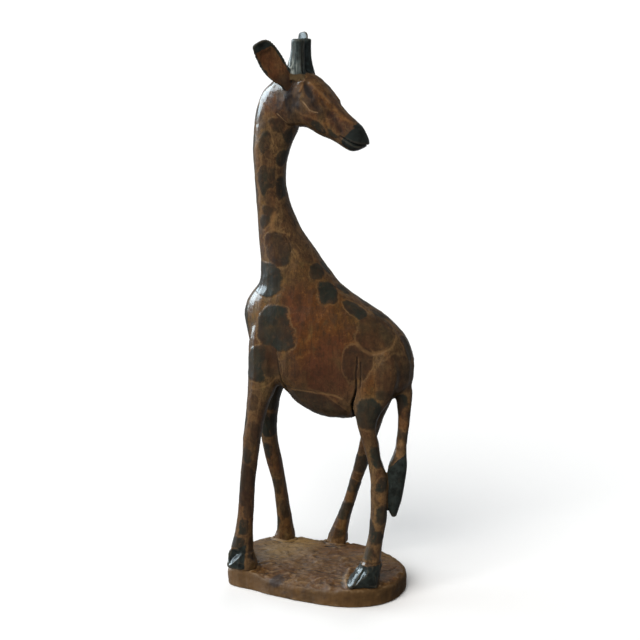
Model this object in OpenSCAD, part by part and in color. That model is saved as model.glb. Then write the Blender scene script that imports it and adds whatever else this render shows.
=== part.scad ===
// Carved wooden giraffe looking back over its own body, standing on a rough oval plinth.
// Millimetres. +Z is up, the chest faces -X, the tail is at +X and the giraffe's left side is -Y.
// The origin is the centre of the plinth's flat underside.

/* [Plinth] */
// Length of the plinth along the body
plinth_l = 186; // [182:1:200]
// Width of the plinth across the body
plinth_w = 122; // [118:1:140]
// Thickness of the plinth
plinth_t = 22; // [18:1:26]

/* [Figure] */
// Height of the flat horn tops above the surface the plinth stands on
horn_top_h = 565; // [556:1:580]
// Width of the belly
belly_w = 75; // [66:1:80]
// Distance between the left and the right hooves, centre to centre
stance_w = 92; // [84:1:94]
// Thickness of the legs, as a share of the carved ones
leg_girth = 1; // [0.9:0.05:1.1]

/* [Head] */
// Turn of the head towards the left flank, from looking straight back
head_turn = 15; // [5:1:25]
// Width of the skull at the eyes
skull_w = 38; // [32:1:42]
// Length of an ear from the skull to its tip
ear_l = 53; // [46:1:56]
// Widest part of an ear
ear_w = 29; // [24:1:33]

/* [Joinery] */
// Diameter of the round tenon under each hoof
foot_tenon_d = 8; // [6:0.5:9]
// Length of the round tenon under each hoof
foot_tenon_l = 12; // [8:1:14]
// Diameter of the round tenon at the root of each ear
ear_tenon_d = 6; // [4:0.5:6]
// Length of the ear tenon inside the skull
ear_tenon_l = 9; // [6:1:10]

/* [Hidden] */

wood = [0.42, 0.25, 0.14];
dark_wood = [0.20, 0.15, 0.11];
black_paint = [0.07, 0.08, 0.08];
raw_wood = [0.50, 0.36, 0.24];

// The figure stands a little off the middle of its plinth
figure_at = [3, 7, 0];
// Height at which the neck meets the trunk
neck_z = 345;
// The head's own frame: x runs along the muzzle's heading, y to the giraffe's right, z stays up
head_at = [-47, 0, 0];
// The joint face between neck and head: one point on it and its slope below the horizontal
nape_point = [3.5, 0, 494.5];
nape_slope = 36.6;

half_stance = stance_w / 2;
belly_half = belly_w / 2;
skull_half = skull_w / 2;

// Corners of the plinth's outline, as shares of its half length and half width
plinth_corners = [[-0.99, -0.55], [-0.88, -0.68], [-0.66, -0.75], [-0.4, -0.87], [-0.05, -0.96], [0.28, -1],
                  [0.54, -0.96], [0.78, -0.78], [0.94, -0.48], [1, -0.1], [0.97, 0.17], [0.85, 0.44],
                  [0.63, 0.73], [0.38, 0.94], [0.12, 0.98], [-0.2, 0.96], [-0.5, 1], [-0.8, 0.88],
                  [-0.95, 0.5], [-0.99, 0]];

// Trunk from the belly up: height, front, back, half width as a share of the belly's
trunk_sections = [[183, 4, 30, 0.2], [186, -8, 38, 0.45], [191, -18, 47, 0.63], [198, -30, 60, 0.77],
                  [206, -38, 73, 0.86], [214, -46, 83, 0.92], [223, -62, 91, 0.96], [233, -74, 92.5, 0.985],
                  [246, -76.5, 92.5, 1], [260, -79.5, 88.5, 0.99], [273, -82, 82, 0.96], [286, -84.5, 69, 0.92],
                  [296, -83, 55, 0.87], [304, -80, 41, 0.82], [312, -74.5, 28, 0.78],
                  [320, -68.5, 17, 0.74], [331, -66, 7, 0.7], [neck_z, -66, -3.5, 0.65]];

// Neck from the trunk up, past the joint with the head: height, front, back, half width
neck_sections = [[neck_z, -66, -3.5, 0.65 * belly_half], [361, -67.3, -15.2, 21.5], [376, -68.4, -25.5, 19.5],
                 [392, -69.4, -33.3, 18], [405, -70.3, -38, 17.2], [420, -71.3, -41.2, 16.5],
                 [434, -72.4, -41, 16.2], [448, -73.2, -39, 16.2], [462, -73.2, -34.5, 16.5],
                 [476, -72.5, -28, 17], [489, -70.8, -23, 17.2], [501, -68, -21, 16.8],
                 [512, -63.5, -23, 14.5], [521, -56, -28, 10.5]];

// Head from the nape to the lips: lower [x, z], upper [x, z], half width as a share of the skull's
head_sections = [[[-22.5, 497], [-11, 518], 0.5], [[-15, 488], [6, 530.5], 0.8], [[-4, 480], [26, 533], 0.92],
                 [[10, 476.5], [39.5, 532], 0.98], [[24, 479.5], [51.5, 523.5], 1], [[35, 480], [60.5, 511.5], 0.96],
                 [[46, 474.5], [69, 502.5], 0.82], [[58.3, 470.5], [78, 495], 0.68],
                 [[69, 466], [87, 488.5], 0.61], [[77.5, 462], [93.5, 482.5], 0.59], [[84, 460], [97.5, 475.5], 0.56],
                 [[90, 461], [99.5, 470.5], 0.45], [[94.5, 463.3], [100.3, 467.5], 0.25]];

// Horns in the head's frame: depth below the top, x, fore-and-aft half size, inner and outer side from the middle
horn_sections = [[38, 24, 11.5, 0.2, 17], [31, 23.6, 10, 0.2, 15.5], [25, 24, 8.6, 0.2, 13.8],
                 [17, 25, 6.9, 0.3, 12.6], [9, 25.8, 6, 0.5, 12.1], [2, 26.2, 5.8, 0.6, 12], [0, 26.2, 5.4, 0.9, 11.6]];

// Ear blade: share of its length, rear edge and front edge as shares of its width, thickness, hollow
ear_sections = [[-0.1, -0.14, 0.14, 8, 0], [0.08, -0.2, 0.2, 8.5, 0.2], [0.22, -0.34, 0.3, 8.2, 1.4],
                [0.4, -0.46, 0.34, 7.4, 2.6], [0.58, -0.5, 0.35, 6.4, 2.8], [0.74, -0.48, 0.33, 5.4, 2.4],
                [0.88, -0.44, 0.27, 4.8, 1.6], [0.97, -0.38, 0.15, 4.2, 0.6], [1, -0.31, 0, 3.4, 0]];
ear_root = [20, 14, 519];
// Turn of each blade about its own axis, which brings the hollow forwards
ear_turn_left = 103;
ear_turn_right = 125;
ear_lean_left = [-18, 19, 44];
ear_lean_right = [-6, 13, 61];

// Legs from the plinth up: height, x, spread as a share of the half stance, half sizes along x and y
foreleg_left_sections = [[plinth_t, -78.5, 0.9, 15.5, 11], [29, -78.5, 0.9, 15, 10.7], [38, -78.7, 0.89, 12.8, 10],
                         [49, -78, 0.88, 11, 9], [61, -76.5, 0.86, 9.2, 8.5], [81, -75, 0.82, 8, 8],
                         [111, -74, 0.75, 8, 8], [141, -71.5, 0.68, 8.3, 8.8], [164, -69.5, 0.63, 9, 10],
                         [185, -66.5, 0.58, 10, 11.5], [201, -63.5, 0.54, 12, 13], [217, -60, 0.5, 15, 14.3],
                         [236, -58.5, 0.46, 16, 15], [256, -59.3, 0.42, 15.5, 14], [276, -60, 0.36, 13, 11.5],
                         [292, -58, 0.28, 9, 8]];
foreleg_right_sections = [[plinth_t, -57.5, 0.92, 11.5, 9.8], [28, -56, 0.92, 10, 9.5], [39, -56, 0.9, 8.3, 9],
                          [54, -57, 0.88, 7.3, 8.2], [76, -59.3, 0.83, 7, 7.6], [98, -62.5, 0.78, 7.5, 8],
                          [119, -66.5, 0.73, 8.4, 8.6], [143, -69.7, 0.68, 8.4, 9], [164, -70, 0.63, 9, 10],
                          [185, -67, 0.58, 10, 11.5], [201, -63.5, 0.54, 12, 13], [217, -60, 0.5, 15, 14.3],
                          [236, -58.5, 0.46, 16, 15], [256, -59.3, 0.42, 15.5, 14], [276, -60, 0.36, 13, 11.5],
                          [292, -58, 0.28, 9, 8]];
hindleg_left_sections = [[plinth_t, 54, 1.12, 16, 13.5], [28, 55.5, 1.09, 14.5, 12.2], [36, 59.3, 1.03, 11.5, 10.5],
                         [45, 61.5, 1, 9.5, 9.2], [58, 63.2, 0.97, 8.4, 8.5], [74, 65.5, 0.92, 7.9, 8.2],
                         [92, 67, 0.87, 8.3, 8.2], [110, 67.2, 0.81, 8.8, 8.6], [126, 66.6, 0.76, 9, 8.8],
                         [138, 64, 0.73, 8.2, 8.4], [152, 59.6, 0.69, 7, 8.2], [166, 55.9, 0.65, 8, 9],
                         [179, 52.5, 0.62, 8.4, 10], [191, 51.3, 0.59, 10.9, 11], [203, 52.6, 0.56, 16.5, 12.2],
                         [216, 55.5, 0.53, 22, 13], [233, 58.5, 0.5, 24.5, 13.5], [251, 59.5, 0.45, 22, 12.5],
                         [268, 58, 0.37, 17, 9.5]];
hindleg_right_sections = [[plinth_t, 1.5, 1.03, 11.5, 10], [31, 3.2, 1.03, 10, 9.8], [43, 6.7, 1.01, 8.2, 9.2],
                          [58, 11.3, 0.98, 7.1, 8.2], [74, 16.8, 0.94, 6.4, 7.6], [90, 21.8, 0.9, 6.2, 7.5],
                          [104, 26.2, 0.86, 6.6, 7.8], [127, 33, 0.79, 7.4, 8.3], [152, 40, 0.71, 8.6, 9],
                          [173, 45.5, 0.64, 10, 10], [190, 50, 0.59, 12.5, 11.2], [203, 52.6, 0.56, 16.5, 12.2],
                          [216, 55.5, 0.53, 22, 13], [233, 58.5, 0.5, 24.5, 13.5], [251, 59.5, 0.45, 22, 12.5],
                          [268, 58, 0.37, 17, 9.5]];

// Tail from its tip up: height, x, sideways lean as a share of the half stance, half sizes along x and y
tail_sections = [[91, 81.5, -0.71, 2, 2.5], [97, 80.8, -0.71, 4.8, 4.5], [105, 81, -0.7, 7, 6],
                 [116, 81.8, -0.68, 8.6, 7], [128, 82.4, -0.62, 9.4, 7], [141, 82.6, -0.53, 9.6, 6.5],
                 [150, 83.6, -0.46, 7.8, 6], [160, 84.6, -0.38, 5.8, 5.8], [173, 85.2, -0.3, 5.4, 5.8],
                 [188, 85.4, -0.2, 6, 6.2], [204, 84.6, -0.1, 7.8, 7.5], [220, 81, -0.03, 10.5, 9], [234, 76, 0, 9, 8]];

// Round tenons of the hooves, measured in the figure's frame
foot_tenons = [[-75, -0.86 * half_stance], [-56, 0.93 * half_stance],
               [61, -1.02 * half_stance], [3, 1.05 * half_stance]];

// Sides of a ring round the trunk and the neck, and round the smaller members
body_sides = 28;
limb_sides = 16;
head_sides = 24;
// How square the sections are: 2 makes an ellipse
body_square = 2.35;
limb_square = 2.3;
head_square = 2.2;
horn_square = 3.2;

// Point between b and c on the smooth curve through four neighbouring stations
function between(a, b, c, d, t) =
    0.5 * (2 * b + (c - a) * t + (2 * a - 5 * b + 4 * c - d) * t * t + (3 * b - a - 3 * c + d) * t * t * t);

// The stations with steps - 1 more between each pair
function refined(list, steps) =
    concat([for (i = [0:len(list) - 2]) for (k = [0:steps - 1])
                between(list[max(i - 1, 0)], list[i], list[i + 1], list[min(i + 2, len(list) - 1)], k / steps)],
           [list[len(list) - 1]]);

// One coordinate of a rounded square of the given squareness
function squared(value, square) = sign(value) * pow(abs(value), 2 / square);

// Closed ring about a centre, reaching half vector u one way and half vector v the other
function ring(centre, u, v, sides, square) =
    [for (i = [0:sides - 1])
        centre + u * squared(cos(360 * i / sides), square) + v * squared(sin(360 * i / sides), square)];

// Level ring of a limb or of the body
function level_ring(z, x, y, half_x, half_y, sides, square) =
    ring([x, y, z], [half_x, 0, 0], [0, half_y, 0], sides, square);

// Solid skin through rings that all have the same number of points
module loft(rings) {
    sides = len(rings[0]);
    last = len(rings) - 1;
    points = [for (r = rings) each r];
    walls = [for (j = [0:last - 1]) for (i = [0:sides - 1])
                let (a = j * sides + i, b = j * sides + (i + 1) % sides)
                each [[a, a + sides, b], [b, a + sides, b + sides]]];
    bottom = [for (i = [0:sides - 1]) i];
    top = [for (i = [sides - 1:-1:0]) last * sides + i];
    polyhedron(points, concat([bottom], walls, [top]));
}

// Places its children where the figure stands on the plinth
module in_figure() {
    translate(figure_at) children();
}

// Places its children in the head's frame
module in_head() {
    in_figure() translate(head_at) rotate([0, 0, -head_turn]) children();
}

// Everything above the joint face between neck and head
module above_nape() {
    in_head() translate(nape_point) rotate([0, nape_slope, 0]) translate([-150, -150, 0]) cube([300, 300, 300]);
}

module trunk_body() {
    in_figure() loft([for (s = refined(trunk_sections, 2))
        level_ring(s[0], (s[1] + s[2]) / 2, 0, (s[2] - s[1]) / 2, s[3] * belly_half, body_sides, body_square)]);
}

module neck_body() {
    in_figure() loft([for (s = refined(neck_sections, 2))
        level_ring(s[0], (s[1] + s[2]) / 2, 0, (s[2] - s[1]) / 2, s[3], body_sides, body_square)]);
}

// The whole head before the neck joint and the ear sockets are cut
module head_body() {
    lower = refined([for (s = head_sections) s[0]], 2);
    upper = refined([for (s = head_sections) s[1]], 2);
    share = refined([for (s = head_sections) [s[2]]], 2);
    in_head() loft([for (i = [0:len(lower) - 1])
        let (middle = (lower[i] + upper[i]) / 2, half = (upper[i] - lower[i]) / 2)
        ring([middle[0], 0, middle[1]], [half[0], 0, half[1]], [0, -share[i][0] * skull_half, 0],
             head_sides, head_square)]);
}

// A leg or the tail: its sections' sideways places are shares of the half stance, on the given side
module limb(sections, side, girth) {
    in_figure() loft([for (s = refined(sections, 2))
        level_ring(s[0], s[1], side * s[2] * half_stance, s[3] * girth, s[4] * girth, limb_sides, limb_square)]);
}

// Round tenon that stands in the plinth under hoof number index
module foot_tenon(index) {
    in_figure() translate([foot_tenons[index][0], foot_tenons[index][1], plinth_t - foot_tenon_l])
        cylinder(d = foot_tenon_d, h = foot_tenon_l + 4, $fn = 32);
}

// Unit vector
function unit(v) = v / norm(v);

// Mirrors its children to the giraffe's left when side is -1
module on_side(side) {
    in_head() mirror([0, side < 0 ? 1 : 0, 0]) children();
}

// Turns its children from +Z to the direction of an ear, at the ear's root
module at_ear(lean, side) {
    heading = unit(lean);
    on_side(side) translate(ear_root) rotate([0, acos(heading[2]), atan2(heading[1], heading[0])]) children();
}

// Round tenon of an ear, from inside its blade to the bottom of the socket in the skull
module ear_tenon(lean, side) {
    at_ear(lean, side) translate([0, 0, -ear_tenon_l]) cylinder(d = ear_tenon_d, h = ear_tenon_l + 8, $fn = 32);
}

// Spoon-shaped ear blade whose hollow faces forwards and outwards
module ear_blade(lean, turn, side) {
    across = limb_sides / 2;
    at_ear(lean, side) rotate([0, 0, turn])
        loft([for (s = refined(ear_sections, 2))
            let (low = s[1] * ear_w, high = s[2] * ear_w, z = s[0] * ear_l,
                 middle = (low + high) / 2, half = (high - low) / 2)
            concat([for (i = [0:across - 1]) let (a = 180 * i / across)
                        [s[3] * 0.55 * sin(a), middle - half * cos(a), z]],
                   [for (i = [0:across - 1]) let (a = 180 * i / across)
                        [(s[4] - s[3] * 0.45) * sin(a), middle + half * cos(a), z]])]);
}

module ear(lean, turn, side) {
    difference() {
        ear_blade(lean, turn, side);
        head_body();
    }
    ear_tenon(lean, side);
}

// One horn; side is -1 for the left one
module horn(side) {
    difference() {
        on_side(side) loft([for (s = horn_sections)
            level_ring(horn_top_h - s[0], s[1], (s[3] + s[4]) / 2, s[2], (s[4] - s[3]) / 2,
                       limb_sides, horn_square)]);
        head_body();
    }
}

module plinth() {
    color(raw_wood) difference() {
        linear_extrude(plinth_t) polygon([for (p = refined(plinth_corners, 3))
            [p[0] * plinth_l / 2, p[1] * plinth_w / 2]]);
        for (i = [0:3]) foot_tenon(i);
    }
}

module trunk() {
    color(wood) trunk_body();
}

module neck() {
    color(wood) difference() {
        neck_body();
        above_nape();
    }
}

module head() {
    color(wood) difference() {
        intersection() {
            head_body();
            above_nape();
        }
        ear_tenon(ear_lean_left, -1);
        ear_tenon(ear_lean_right, 1);
    }
}

module ear_left() {
    color(dark_wood) ear(ear_lean_left, ear_turn_left, -1);
}

module ear_right() {
    color(dark_wood) ear(ear_lean_right, ear_turn_right, 1);
}

module horn_left() {
    color(black_paint) horn(-1);
}

module horn_right() {
    color(black_paint) horn(1);
}

module foreleg_left() {
    color(wood) {
        difference() {
            limb(foreleg_left_sections, -1, leg_girth);
            trunk_body();
        }
        foot_tenon(0);
    }
}

module foreleg_right() {
    color(wood) {
        difference() {
            limb(foreleg_right_sections, 1, leg_girth);
            trunk_body();
        }
        foot_tenon(1);
    }
}

module hindleg_left() {
    color(wood) {
        difference() {
            limb(hindleg_left_sections, -1, leg_girth);
            trunk_body();
        }
        foot_tenon(2);
    }
}

module hindleg_right() {
    color(wood) {
        difference() {
            limb(hindleg_right_sections, 1, leg_girth);
            trunk_body();
        }
        foot_tenon(3);
    }
}

module tail() {
    color(black_paint) difference() {
        limb(tail_sections, 1, 1);
        trunk_body();
        limb(hindleg_left_sections, -1, leg_girth);
    }
}

plinth();
trunk();
neck();
head();
ear_left();
ear_right();
horn_left();
horn_right();
foreleg_left();
foreleg_right();
hindleg_left();
hindleg_right();
tail();
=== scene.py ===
"""Carved and lacquered giraffe statue on a rough oval plinth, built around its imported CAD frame."""
import itertools
import math

import bmesh
import bpy
import numpy as np
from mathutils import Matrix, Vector
from mathutils.bvhtree import BVHTree


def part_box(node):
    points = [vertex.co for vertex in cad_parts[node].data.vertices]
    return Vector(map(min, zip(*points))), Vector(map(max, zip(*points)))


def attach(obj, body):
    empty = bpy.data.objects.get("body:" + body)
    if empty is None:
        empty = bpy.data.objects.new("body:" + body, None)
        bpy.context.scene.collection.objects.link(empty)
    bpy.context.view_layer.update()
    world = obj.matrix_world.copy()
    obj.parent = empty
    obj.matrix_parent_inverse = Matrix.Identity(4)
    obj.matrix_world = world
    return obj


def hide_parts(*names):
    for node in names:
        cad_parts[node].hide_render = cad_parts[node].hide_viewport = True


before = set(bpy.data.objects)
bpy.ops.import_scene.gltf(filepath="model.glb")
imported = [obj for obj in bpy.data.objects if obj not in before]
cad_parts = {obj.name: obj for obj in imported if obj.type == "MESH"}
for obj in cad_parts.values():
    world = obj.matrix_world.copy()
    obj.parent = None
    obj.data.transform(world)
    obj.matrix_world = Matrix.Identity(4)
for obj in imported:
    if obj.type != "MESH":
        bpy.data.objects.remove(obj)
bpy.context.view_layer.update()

# All shaping is done in millimetres: one of them in metres, and a metre in them
MM, METRE = 0.001, 1000
# Figure frame: x from chest to tail, y to the giraffe's far side, z up from the table.
# Head frame: s along the muzzle, t to the far side, z as before.
FIGURE_AT = np.array([3.0, 7.0, 0.0])
HEAD_AT = np.array([-47.0, 0.0, 0.0])
HEAD_TURN = math.radians(15)
PLINTH_TOP = 22.0
FINE_VOXEL = 0.9
VOXEL = FINE_VOXEL
FINENESS = FINE_VOXEL / VOXEL
# Levels between which the neck begins, and the legs end
NECK = (335, 360)
LEGS = (206, 180)
BELLY, WITHERS = 214, 330
FIGURE_NODES = [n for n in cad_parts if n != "plinth"]


# ---- numbers
def rand01(ix, iy, iz, seed):
    """Repeatable 0..1 value of an integer lattice point."""
    h = (ix * 374761393 + iy * 668265263 + iz * 1440662683 + seed * 974634777) & 0xFFFFFFFF
    h = ((h ^ (h >> 13)) * 1274126177) & 0xFFFFFFFF
    h = ((h ^ (h >> 16)) * 2246822519) & 0xFFFFFFFF
    h ^= h >> 15
    return h / 4294967295.0


def noise(p, size, seed=0):
    """Smooth value noise, -1..1; size is the length of a lump in mm, one number or three."""
    q = p / np.array(size, float)
    c = np.floor(q).astype(np.int64)
    f = q - c
    f = f * f * f * (f * (f * 6 - 15) + 10)
    out = np.zeros(len(p))
    for corner in itertools.product((0, 1), repeat=3):
        wx, wy, wz = (f[:, k] if corner[k] else 1 - f[:, k] for k in range(3))
        out += wx * wy * wz * rand01(*(c + corner).T, seed)
    return out * 2 - 1


def noise3(p, size, seed):
    """An offset for each point, with its own noise along each axis."""
    return np.stack([noise(p, size, seed + k) for k in range(3)], 1)


def layered(p, size, seed, octaves=3):
    """Noise with finer noise on top of it, -1..1."""
    size = np.array(size, float) * np.ones(3)
    total, gain, norm = 0, 1.0, 0.0
    for k in range(octaves):
        total = total + gain * noise(p, size / 2 ** k, seed + 17 * k)
        norm += gain
        gain *= 0.5
    return total / norm


def cells(p, size, seed):
    """Distance to the nearest of scattered points, in cell sizes."""
    q = p / np.array(size, float)
    c = np.floor(q).astype(np.int64)
    near = np.full(len(p), 9.0)
    for step in itertools.product((-1, 0, 1), repeat=3):
        at = (c + step).T
        d = sum((at[k] + rand01(*at, seed + k) - q[:, k]) ** 2 for k in range(3))
        near = np.minimum(near, np.sqrt(d))
    return near


def ease(low, high, x):
    """Smooth step of x, 0 at low and 1 at high; low may be above high."""
    t = np.clip((x - low) / (high - low), 0, 1)
    return t * t * (3 - 2 * t)


def to_head(p):
    """Figure-frame points in the head frame."""
    c, s = math.cos(HEAD_TURN), math.sin(HEAD_TURN)
    d = p - HEAD_AT
    return np.stack([d[:, 0] * c - d[:, 1] * s, d[:, 0] * s + d[:, 1] * c, p[:, 2]], 1)


def from_head(direction):
    """A head-frame direction in the figure frame."""
    c, s = math.cos(HEAD_TURN), math.sin(HEAD_TURN)
    x, y, z = direction
    return np.array([x * c + y * s, -x * s + y * c, z])


def to_path(p, points):
    """Distance to a polyline and the share of the way along it, for each point."""
    points = np.array(points, float)
    best = np.full(len(p), 1e9)
    along = np.zeros(len(p))
    spans = np.linalg.norm(np.diff(points, axis=0), axis=1)
    start = np.concatenate([[0], np.cumsum(spans)])
    for i in range(len(spans)):
        a, b = points[i], points[i + 1]
        t = np.clip(((p - a) @ (b - a)) / spans[i] ** 2, 0, 1)
        d = np.linalg.norm(p - a - t[:, None] * (b - a), axis=1)
        closer = d < best
        best = np.where(closer, d, best)
        along = np.where(closer, (start[i] + t * spans[i]) / start[-1], along)
    return best, along


def one_side(h):
    """Head-frame points with t counted outward on both sides of the head."""
    return np.stack([h[:, 0], np.abs(h[:, 1]), h[:, 2]], 1)


# ---- meshes
def sides(quads):
    """The directed edges round every quad."""
    return np.concatenate([quads[:, [k, (k + 1) % 4]] for k in range(4)])


class Skin:
    """Vertices in mm and quads as arrays, with the sums over neighbours that smoothing needs."""

    def __init__(self, verts, quads):
        self.v, self.q = verts, quads
        self.e = np.unique(np.sort(sides(quads), axis=1), axis=0)
        self.count = np.bincount(self.e.ravel(), minlength=len(verts)).astype(float)

    def around(self, values):
        """Mean over each vertex's neighbours."""
        a, b, n = self.e[:, 0], self.e[:, 1], len(self.v)
        if values.ndim == 1:
            total = np.bincount(a, values[b], n) + np.bincount(b, values[a], n)
            return total / self.count
        return np.stack([self.around(values[:, k]) for k in range(values.shape[1])], 1)

    def relax(self, rounds, weight=1.0, keep_volume=True):
        """Smooths the skin, where the weight is above zero."""
        weight = np.asarray(weight) * np.ones(len(self.v))
        for _ in range(rounds):
            self.v = self.v + 0.55 * weight[:, None] * (self.around(self.v) - self.v)
            if keep_volume:
                self.v = self.v - 0.58 * weight[:, None] * (self.around(self.v) - self.v)

    def spread(self, values, rounds):
        """Values blurred over the skin."""
        for _ in range(rounds):
            values = 0.5 * values + 0.5 * self.around(values)
        return values

    def normals(self):
        """Each vertex's outward direction."""
        p = self.v[self.q]
        n = np.cross(p[:, 2] - p[:, 0], p[:, 3] - p[:, 1])
        out = np.zeros_like(self.v)
        for k in range(4):
            for axis in range(3):
                out[:, axis] += np.bincount(self.q[:, k], n[:, axis], len(self.v))
        return out / (np.linalg.norm(out, axis=1)[:, None] + 1e-12)

    def curvature(self, rounds=2):
        """Above zero on ridges and below zero in hollows, in mm of the step to the neighbours' mean."""
        c = ((self.v - self.around(self.v)) * self.normals()).sum(1)
        return self.spread(c, rounds)


def column(items, attribute, width, kind):
    """One attribute of all the items, in rows of the given width."""
    out = np.zeros(len(items) * width, kind)
    items.foreach_get(attribute, out)
    return out.reshape(-1, width)


def add_object(name, data):
    """The scene's object for a mesh, light or camera."""
    obj = bpy.data.objects.new(name, data)
    bpy.context.scene.collection.objects.link(obj)
    return obj


def voxel_skin(verts, faces, size):
    """An even quad skin over closed shells, any that touch run together; mm in and out."""
    mesh = bpy.data.meshes.new("source")
    mesh.from_pydata((verts * MM).tolist(), [], faces.tolist())
    obj = add_object("source", mesh)
    mod = obj.modifiers.new("remesh", "REMESH")
    mod.mode = "VOXEL"
    mod.voxel_size = size * MM
    mod.adaptivity = 0.0
    done = obj.evaluated_get(bpy.context.evaluated_depsgraph_get()).to_mesh()
    quads = column(done.loops, "vertex_index", 1, np.int32).reshape(-1, 4).astype(np.int64)
    skin = Skin(column(done.vertices, "co", 3, np.float32).astype(float) * METRE, quads)
    obj.to_mesh_clear()
    bpy.data.objects.remove(obj)
    bpy.data.meshes.remove(mesh)
    return skin


def above_plinth(verts, tris):
    """The part of a closed shell above a level just inside the plinth, closed again; takes the tenons off."""
    bm = bmesh.new()
    points = [bm.verts.new(v) for v in verts]
    for t in tris:
        try:
            bm.faces.new([points[i] for i in t])
        except ValueError:
            pass
    bmesh.ops.remove_doubles(bm, verts=bm.verts, dist=1e-4)
    geom = bm.verts[:] + bm.edges[:] + bm.faces[:]
    cut = bmesh.ops.bisect_plane(bm, geom=geom, plane_co=(0, 0, PLINTH_TOP - 1.5),
                                 plane_no=(0, 0, 1), clear_inner=True)
    edges = [g for g in cut["geom_cut"] if isinstance(g, bmesh.types.BMEdge)]
    bmesh.ops.triangle_fill(bm, use_beauty=True, edges=edges)
    bmesh.ops.triangulate(bm, faces=bm.faces[:])
    bm.verts.index_update()
    out_v = np.array([v.co[:] for v in bm.verts])
    out_f = np.array([[v.index for v in f.verts] for f in bm.faces])
    bm.free()
    return out_v, out_f


def nearest_node(points, trees, boxes):
    """For each point, the number of the CAD node whose surface is nearest."""
    inside = np.stack([((points > lo - 2.5) & (points < hi + 2.5)).all(1) for lo, hi in boxes], 1)
    label = np.argmax(inside, 1)
    for i in np.where(inside.sum(1) != 1)[0]:
        options = np.where(inside[i])[0]
        if len(options) == 0:
            options = range(len(trees))
        p = Vector(points[i])
        label[i] = min(options, key=lambda k: trees[k].find_nearest(p)[3])
    return label


# ---- the figure's skin
def figure_skin():
    """One skin over the figure's CAD nodes, and the number of the node that each vertex belongs to."""
    shells = []
    for n in FIGURE_NODES:
        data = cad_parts[n].data
        data.calc_loop_triangles()
        shell = (column(data.vertices, "co", 3, np.float32).astype(float) * METRE,
                 column(data.loop_triangles, "vertices", 3, np.int32))
        shells.append(above_plinth(*shell) if "leg" in n else shell)
    base = np.cumsum([0] + [len(v) for v, _ in shells])
    skin = voxel_skin(np.concatenate([v for v, _ in shells]),
                      np.concatenate([t + k for (_, t), k in zip(shells, base)]), VOXEL)
    trees = [BVHTree.FromPolygons(v.tolist(), t.tolist()) for v, t in shells]
    label = nearest_node(skin.v, trees, [(v.min(0), v.max(0)) for v, _ in shells])
    # A vertex keeps its node unless its neighbours clearly belong to another
    for _ in range(3):
        votes = np.stack([skin.around((label == k).astype(float)) for k in range(len(trees))], 1)
        votes[np.arange(len(label)), label] += 0.15
        label = votes.argmax(1)
    return skin, label


def on(*nodes):
    """Which vertices belong to any of these nodes."""
    return np.isin(label, [FIG[n] for n in nodes])


skin, label = figure_skin()
FIG = {n: i for i, n in enumerate(FIGURE_NODES)}
on_ear = skin.spread(on("ear_left", "ear_right").astype(float), 4)
# The smaller the voxels, the more rounds of smoothing it takes
skin.relax(int(round(10 * FINENESS ** 1.3)), 1 - 0.5 * on_ear)
# The legs, horns and ears run into the body with a carver's fillet instead of a sharp corner
seam = np.zeros(len(skin.v))
seam[skin.e[label[skin.e[:, 0]] != label[skin.e[:, 1]]].ravel()] = 1.0
reach = np.clip(skin.spread(seam, int(60 * FINENESS ** 2)) * 9, 0, 1)
trunk = ((skin.v[:, 2] > BELLY) & (skin.v[:, 2] < WITHERS)).astype(float)
reach = reach * np.clip(skin.spread(trunk, 8) + 0.25 * (skin.v[:, 2] > WITHERS), 0, 1) * (1 - on_ear)
skin.relax(int(70 * FINENESS ** 1.5), reach, keep_volume=False)


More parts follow.
